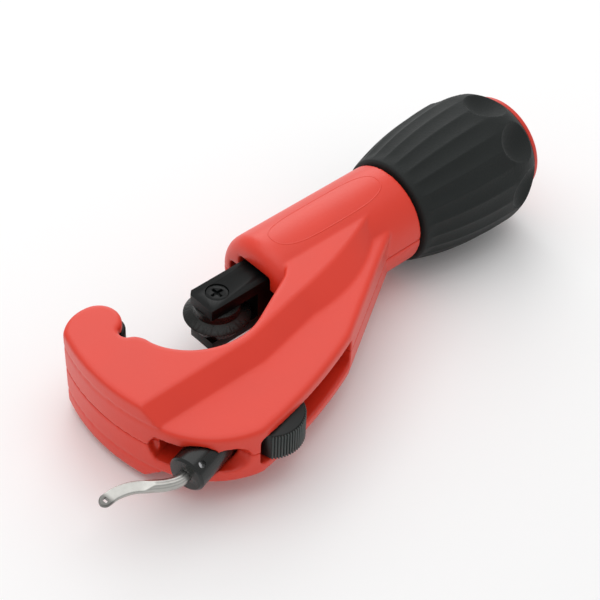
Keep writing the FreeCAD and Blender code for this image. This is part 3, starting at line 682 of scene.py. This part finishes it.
class PC_OT_badge_bead(bpy.types.Operator):
    """Thin raised oval on top of the barrel, round a bare panel"""
    bl_idname = "pipecutter.badge_bead"
    bl_label = "Badge Bead"

    def execute(self, context):
        width = context.scene.pc_frame.badge_line
        half_long, half_wide, middle = 0.0196, 0.0056, 0.071
        count, sides = 160, 10
        ring = [(middle + half_long * squarish(math.cos(a), 0.55), half_wide * squarish(math.sin(a), 0.8))
                for a in (math.tau * i / count for i in range(count))]
        sunk_r = BARREL_R - 0.00006
        corners, faces = [], []
        for i, (x, side) in enumerate(ring):
            angle = side / BARREL_R
            out = Vector((0, math.sin(angle), math.cos(angle)))
            before, after = ring[i - 1], ring[(i + 1) % count]
            run = Vector((after[0] - before[0], after[1] - before[1])).normalized()
            across = Vector((-run[1], run[0] * math.cos(angle), -run[0] * math.sin(angle))).normalized()
            for k in range(sides):
                b = math.tau * k / sides
                corners.append(Vector((x, 0, 0)) + out * (sunk_r + 0.3 * width * math.sin(b))
                               + across * 0.5 * width * math.cos(b))
            j = (i + 1) % count
            for k in range(sides):
                m = (k + 1) % sides
                faces.append((i * sides + k, i * sides + m, j * sides + m, j * sides + k))
        bead = new_piece("badge_bead", mesh_from("badge_bead", corners, faces))
        outward(bead)
        bead.data.shade_smooth()
        bead.data.materials.append(finish_for("red_paint"))
        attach(bead, "frame")
        return {"FINISHED"}


class PC_OT_fasteners(bpy.types.Operator):
    """Screws that close the shells and the rollers' pins"""
    bl_idname = "pipecutter.fasteners"
    bl_label = "Fasteners"

    def execute(self, context):
        bevelled("frame_screws", "shell_screws", 0.00012)
        for node in ("tip_roller_pin", "heel_roller_pin", "thrust_washers"):
            dress_node(node)
        return {"FINISHED"}


class PC_OT_rollers(bpy.types.Operator):
    """Guide rollers with broken edges"""
    bl_idname = "pipecutter.rollers"
    bl_label = "Guide Rollers"

    def execute(self, context):
        for node in ("tip_roller", "heel_roller"):
            bevelled(node, node + "_turned", 0.0001)
        return {"FINISHED"}


# ---- cutter and feed ----
class PC_OT_cutter(bpy.types.Operator):
    """Slide, cutting wheel and axle screw"""
    bl_idname = "pipecutter.cutter"
    bl_label = "Slide and Wheel"

    def execute(self, context):
        edge = context.scene.pc_cutter.edge
        bevelled("cutter_slide", "slide_bar", edge)
        bevelled("cutting_wheel", "wheel_disc", edge, 0.3)
        bevelled("wheel_axle_screw", "axle_screw", 0.5 * edge)
        return {"FINISHED"}


class PC_OT_feed(bpy.types.Operator):
    """Threaded feed screw with its pin, nut and ring"""
    bl_idname = "pipecutter.feed"
    bl_label = "Feed Screw"

    def execute(self, context):
        looks = context.scene.pc_cutter
        low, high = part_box("feed_screw")
        radius = high.z
        first, last = low.x, high.x
        turns, rows_per_pitch = 40, 14
        tip, centre_r = 0.0008, 0.0002
        plain, run_in, run_out = 0.013, 0.004, 0.003
        steps = int((last - first) / looks.pitch * rows_per_pitch)
        outline = [(first, centre_r, 0.0)]
        for i in range(steps + 1):
            x = first + (last - tip - first) * i / steps
            share = min(1.0, max(0.0, (x - first - plain) / run_in), (last - x) / run_out)
            outline.append((x, radius, share))
        outline += [(last, radius - tip, 0.0), (last, centre_r, 0.0)]
        outline.reverse()
        screw = new_piece("feed_thread", lathe("feed_thread", outline, turns))
        grow(screw, thread_tree(), {"Pitch": looks.pitch, "Depth": looks.thread_depth,
                                    "Finish": finish_for("bright_steel")})
        settle(screw, 50.0)
        dress(screw, SLOTS["feed_screw"], ["feed_screw"])
        bevelled("feed_nut", "nut_sleeve", 0.0002)
        for node in ("feed_screw_pin", "retaining_ring"):
            dress_node(node)
        return {"FINISHED"}


# ---- knob ----
class PC_OT_grip(bpy.types.Operator):
    """Rubber sleeve with long flutes and thumb scallops"""
    bl_idname = "pipecutter.grip"
    bl_label = "Rubber Grip"

    def execute(self, context):
        looks = context.scene.pc_knob
        end = KNOB_X + KNOB_LENGTH
        front_r, rising_r, max_r, falling_r, end_r = 0.0159, 0.0196, 0.0207, 0.0188, 0.0156
        rising_x, falling_x = KNOB_X + 0.01584, KNOB_WIDEST_X + 0.68 * 0.0134
        wall, lip = 0.0037, 0.0005
        turns, outer_steps, inner_steps = 384, 90, 16

        def line(inset, steps):
            """The grip's side view in two arcs that meet at its widest point."""
            first = arc((KNOB_X, front_r - inset), (rising_x, rising_r - inset),
                        (KNOB_WIDEST_X, max_r - inset), steps)
            second = arc((KNOB_WIDEST_X, max_r - inset), (falling_x, falling_r - inset),
                         (end, end_r - inset), steps // 2)
            return first + second[1:]

        outline = [(KNOB_X, front_r - 2 * lip, 0.0)]
        for x, r in line(0.0, outer_steps):
            from_end = min(x - KNOB_X, end - x)
            if from_end < lip:
                r -= lip - math.sqrt(max(0.0, lip * lip - (lip - from_end) ** 2))
            outline.append((x, r, 1.0))
        outline.append((end, end_r - 2 * lip, 0.9))
        outline += [(x, r, 0.0) for x, r in reversed(line(wall, inner_steps))]
        grip = new_piece("rubber_grip", lathe("rubber_grip", outline, turns))
        scallop_x, surface_r = end - 0.0050, max_r - 0.0014
        grow(grip, grip_tree(), {"Front": KNOB_X, "Length": KNOB_LENGTH, "Flutes": looks.flutes,
                                 "Flute Depth": looks.flute_depth, "Scallops": looks.scallops,
                                 "Scallop Radius": looks.scallop_radius, "Scallop Stretch": 1.25,
                                 "Scallop Axis": surface_r - looks.scallop_depth + looks.scallop_radius,
                                 "Scallop Centre": scallop_x, "Finish": finish_for("grip_rubber")})
        settle(grip, 50.0)
        dress(grip, "grip_rubber", ["knob_grip"])
        return {"FINISHED"}


class PC_OT_knob_core(bpy.types.Operator):
    """Hard core with the ring at the knob's end, and its cap"""
    bl_idname = "pipecutter.knob_core"
    bl_label = "Knob Core and Cap"

    def execute(self, context):
        bevelled("knob_core", "core_and_ring", 0.0002, flat_deg=1.0)
        bevelled("knob_end_cap", "end_cap", 0.0003, flat_deg=1.0)
        return {"FINISHED"}


# ---- deburring blade ----
class PC_OT_holder(bpy.types.Operator):
    """Blade holder with its set screw, detent ball and spring"""
    bl_idname = "pipecutter.holder"
    bl_label = "Blade Holder"

    def execute(self, context):
        bevelled("reamer_holder", "blade_holder", context.scene.pc_reamer.edge)
        self.set_screw()
        for node in ("detent_ball", "detent_spring"):
            dress_node(node)
        return {"FINISHED"}

    @staticmethod
    def set_screw():
        """The CAD screw sunk a little below the holder's skin, with a driver's slot across it."""
        screw = merged_copy("blade_set_screw", "slotted_set_screw", 3.0)
        low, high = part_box("blade_set_screw")
        middle = (low + high) / 2
        slope = math.radians(SET_SCREW_DEG)
        out = (reamer_point(0.0, -math.cos(slope), math.sin(slope)) - REAMER_ORIGIN).normalized()
        half_length, recess = 1.65 * MM, 0.8 * MM
        for corner in screw.data.vertices:
            if (corner.co - middle).dot(out) > 0:
                corner.co -= out * recess
        end = middle + out * (half_length - recess)
        side = reamer_point(1.0, 0.0) - REAMER_ORIGIN
        across = out.cross(side).normalized() * 1.5 * MM
        along = side.normalized() * 0.2 * MM
        depth = out * 0.5 * MM
        corners = [end + across * u + along * v + depth * w for w in (-1, 1)
                   for u, v in ((-1, -1), (1, -1), (1, 1), (-1, 1))]
        groove = carve(screw, corners)
        break_edges(screw, 0.0002, 40)
        settle(screw, 40.0)
        bpy.data.objects.remove(groove)
        dress(screw, SLOTS["blade_set_screw"], ["blade_set_screw"])


class PC_OT_button(bpy.types.Operator):
    """Ribbed thumb piece on its stem"""
    bl_idname = "pipecutter.button"
    bl_label = "Slider Button"

    def execute(self, context):
        looks = context.scene.pc_reamer
        half, foot, seat, stem_half = 4.2, -9.5, -4.2, 2.89
        rise = looks.rib_height / MM
        first, peak, last = (19.0, -12.6), (27.2, -16.4), (33.8, -12.2)
        lowered = [(s, n + rise) for s, n in (first, peak, last)]
        face = arc(*lowered, 28)
        face[0] = (first[0], face[0][1])
        outline = [(first[0], foot), *face, (last[0], foot)]
        corners = [reamer_point(s, n, z) for z in (-half, half) for s, n in outline]
        count = len(outline)
        faces = [tuple(range(count)), tuple(reversed(range(count, 2 * count)))]
        faces += [(i, i + count, (i + 1) % count + count, (i + 1) % count) for i in range(count)]
        s0, s1 = 21.0, 31.8
        base = len(corners)
        root = foot - 0.3
        stem = [(s0, root), (s1, root), (s1, seat), (s0, seat)]
        corners += [reamer_point(s, n, z) for z in (-stem_half, stem_half) for s, n in stem]
        faces += [tuple(base + i for i in range(4)), tuple(base + 7 - i for i in range(4))]
        faces += [(base + i, base + i + 4, base + (i + 1) % 4 + 4, base + (i + 1) % 4) for i in range(4)]
        body = new_piece("thumb_piece", mesh_from("thumb_piece", corners, faces))
        outward(body)
        break_edges(body, looks.edge, 40, harden=True)
        settle(body, None)
        dress(body, "button_plastic", ["slider_button"])

        ribs = new_piece("thumb_ribs", mesh_from("thumb_ribs", [], []))
        inner = [(s, n + 0.5 * rise) for s, n in arc(first, peak, last, 40)]
        ends = (inner[1], inner[20], inner[39])
        ribbed_length = 16.9
        spacing = ribbed_length / (looks.ribs - 1) * MM
        grow(ribs, rib_tree(), {"Start": reamer_point(*ends[0]), "Peak": reamer_point(*ends[1]),
                                "End": reamer_point(*ends[2]), "Ribs": looks.ribs,
                                "Width": 0.66 * spacing, "Height": looks.rib_height * 1.25,
                                "Length": 2 * half * MM - 0.0003, "Finish": finish_for("rib_plastic")})
        break_edges(ribs, 0.00014, 30)
        settle(ribs, 50.0)
        ribs.data.materials.clear()
        ribs.data.materials.append(finish_for("rib_plastic"))
        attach(ribs, "reamer")
        return {"FINISHED"}


class PC_OT_blade(bpy.types.Operator):
    """Deburring blade: a fluted round shank forged into a flat hooked tip with a window"""
    bl_idname = "pipecutter.blade"
    bl_label = "Deburring Blade"

    def execute(self, context):
        middle = smooth_line([(14.0, 0.0, 0), (7.0, 0.0, 0), (0.5, 0.0, 0), (-2.6, 0.4, 0), (-5.8, 2.3, 0),
                              (-8.8, 5.1, 0), (-11.9, 7.8, 0), (-15.3, 9.5, 0), (-18.0, 10.1, 0),
                              (-20.4, 10.4, 0)], 14)
        sides = 48
        shank_r, tip_wide, tip_thick = 1.6, 1.62, 0.62
        corners, faces = [], []
        run = [0.0]
        for a, b in zip(middle, middle[1:]):
            run.append(run[-1] + (b - a).length)
        total = run[-1]
        for i, spot in enumerate(middle):
            ahead = (middle[min(i + 1, len(middle) - 1)] - middle[max(i - 1, 0)]).normalized()
            across = Vector((-ahead.y, ahead.x, 0))
            flat = smooth_share((run[i] - 0.60 * total) / (0.09 * total))
            tip = max(0.0, (run[i] - 0.955 * total) / (0.045 * total))
            round_end = math.sqrt(max(0.004, 1.0 - tip * tip))
            wide = (shank_r + (tip_wide - shank_r) * flat) * round_end
            thick = shank_r + (tip_thick - shank_r) * flat
            flute = 0.16 * (1.0 - flat) * smooth_share((run[i] - 0.30 * total) / (0.05 * total))
            for k in range(sides):
                a = math.tau * k / sides
                c, s = math.cos(a), math.sin(a)
                power = 1.0 - 0.62 * flat
                u = squarish(c, power) * wide
                v = squarish(s, power) * thick
                groove = flute * (0.5 + 0.5 * math.cos(8 * a)) ** 3
                scale = 1.0 - groove / shank_r
                corners.append(Vector((spot.x, spot.y, 0)) + across * u * scale + Vector((0, 0, v * scale)))
        rings = len(middle)
        for i in range(rings - 1):
            for k in range(sides):
                m = (k + 1) % sides
                faces.append((i * sides + k, i * sides + m, (i + 1) * sides + m, (i + 1) * sides + k))
        faces += [tuple(reversed(range(sides))), tuple(range((rings - 1) * sides, rings * sides))]
        tilt = Quaternion(Vector((1, 0, 0)), math.radians(BLADE_TILT))
        placed = [reamer_point(*(tilt @ c)) for c in corners]
        blade = new_piece("deburring_hook", mesh_from("deburring_hook", placed, faces))
        outward(blade)
        window = carve(blade, self.window(tilt))
        settle(blade, 35.0)
        bpy.data.objects.remove(window)
        dress(blade, "blade_steel", ["deburring_blade"])
        return {"FINISHED"}

    @staticmethod
    def window(tilt):
        """Corners of the square prism that opens the tip's window."""
        middle_s, middle_n, half, reach = -18.8, 10.2, 0.65, 3.0
        corners = []
        for z in (-reach, reach):
            for s, n in ((-half, -half), (half, -half), (half, half), (-half, half)):
                corners.append(reamer_point(*(tilt @ Vector((middle_s + s, middle_n + n, z)))))
        return corners


# ---- stage ----
class PC_OT_stage(bpy.types.Operator):
    """Pale floor, white room, soft lamps and the camera"""
    bl_idname = "pipecutter.stage"
    bl_label = "Stage"

    def execute(self, context):
        looks = context.scene.pc_stage
        scene = context.scene
        scene.view_settings.view_transform = "Standard"
        self.floor(looks)
        world = bpy.data.worlds.new("white_room")
        world.use_nodes = True
        background = world.node_tree.nodes["Background"]
        background.inputs["Color"].default_value = (1, 1, 1, 1)
        background.inputs["Strength"].default_value = looks.world_light
        scene.world = world
        self.lamp("overhead", looks.key_light, 1.0, (0.02, 0.12, 0.75), (0.05, 0.0, 0.0))
        self.lamp("far_side", 0.4 * looks.key_light, 0.5, (0.45, 0.55, 0.35), (0.05, 0.0, 0.0))
        self.camera(looks, scene)
        return {"FINISHED"}

    @staticmethod
    def floor(looks):
        """The cutter lies on the hook's lower face and on the knob."""
        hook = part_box("frame_lower_half")[0]
        knob_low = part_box("knob_grip")[0].z
        slope = (knob_low - hook.z) / (KNOB_WIDEST_X - hook.x)
        half, clearance = 4.0, 0.0002
        level = hook.z - clearance - slope * hook.x
        corners = [(x, y, level + slope * x) for x, y in ((-half, -half), (half, -half), (half, half),
                                                          (-half, half))]
        ground = new_piece("studio_floor", mesh_from("studio_floor", corners, [(0, 1, 2, 3)]))
        finish, tree, shader, place = new_finish("pale_floor", {"Specular IOR Level": 0.1, "Roughness": 0.9})
        patches = noise(tree, place, 0.3, 2.0)
        feed(tree, shader.inputs["Base Color"],
             blend_colour(tree, patches, shade(looks.floor_colour, 0.995), shade(looks.floor_colour, 1.005)))
        ground.data.materials.append(finish)

    @staticmethod
    def lamp(name, power, size, spot, aim):
        light = bpy.data.lights.new(name, "AREA")
        light.energy = power
        light.size = size
        lamp = new_piece(name, light)
        lamp.location = spot
        lamp.rotation_mode = "QUATERNION"
        lamp.rotation_quaternion = (Vector(aim) - Vector(spot)).to_track_quat("-Z", "Y")

    @staticmethod
    def camera(looks, scene):
        lens = bpy.data.cameras.new("camera")
        lens.lens = looks.lens
        lens.sensor_width = 36.0
        lens.clip_start, lens.clip_end = 0.01, 20.0
        camera = new_piece("camera", lens)
        flat = math.cos(looks.elevation)
        back = Vector((math.sin(looks.azimuth) * flat, -math.cos(looks.azimuth) * flat,
                       math.sin(looks.elevation)))
        camera.rotation_mode = "QUATERNION"
        camera.rotation_quaternion = back.to_track_quat("Z", "Y") @ Quaternion((0, 0, 1), looks.roll)
        camera.location = Vector(looks.aim) + back * looks.distance
        scene.camera = camera


# ---- add-on ----
STEPS = (PC_OT_frame_shells, PC_OT_badge_bead, PC_OT_fasteners, PC_OT_rollers, PC_OT_cutter, PC_OT_feed,
         PC_OT_grip, PC_OT_knob_core, PC_OT_holder, PC_OT_button, PC_OT_blade, PC_OT_stage)
GROUPS = {"pc_frame": FrameLooks, "pc_knob": KnobLooks, "pc_cutter": CutterLooks,
          "pc_reamer": ReamerLooks, "pc_stage": StageLooks}


class PC_PT_looks(bpy.types.Panel):
    """Lists every piece's operator and the sizes and colours behind them"""
    bl_idname = "PC_PT_looks"
    bl_label = "Pipe Cutter"
    bl_space_type = "VIEW_3D"
    bl_region_type = "UI"
    bl_category = "Pipe Cutter"

    def draw(self, context):
        for step in STEPS:
            self.layout.operator(step.bl_idname)
        for name, group in GROUPS.items():
            box = self.layout.box()
            box.label(text=name[3:].capitalize())
            for prop in group.__annotations__:
                box.prop(getattr(context.scene, name), prop)


def register():
    for group in GROUPS.values():
        bpy.utils.register_class(group)
    for kind in (*STEPS, PC_PT_looks):
        bpy.utils.register_class(kind)
    for name, group in GROUPS.items():
        setattr(bpy.types.Scene, name, PointerProperty(type=group))


def unregister():
    for name in GROUPS:
        delattr(bpy.types.Scene, name)
    for kind in (PC_PT_looks, *reversed(STEPS), *GROUPS.values()):
        bpy.utils.unregister_class(kind)


def main():
    register()
    for step in STEPS:
        group, name = step.bl_idname.split(".")
        getattr(getattr(bpy.ops, group), name)()


if __name__ == "__main__":
    main()
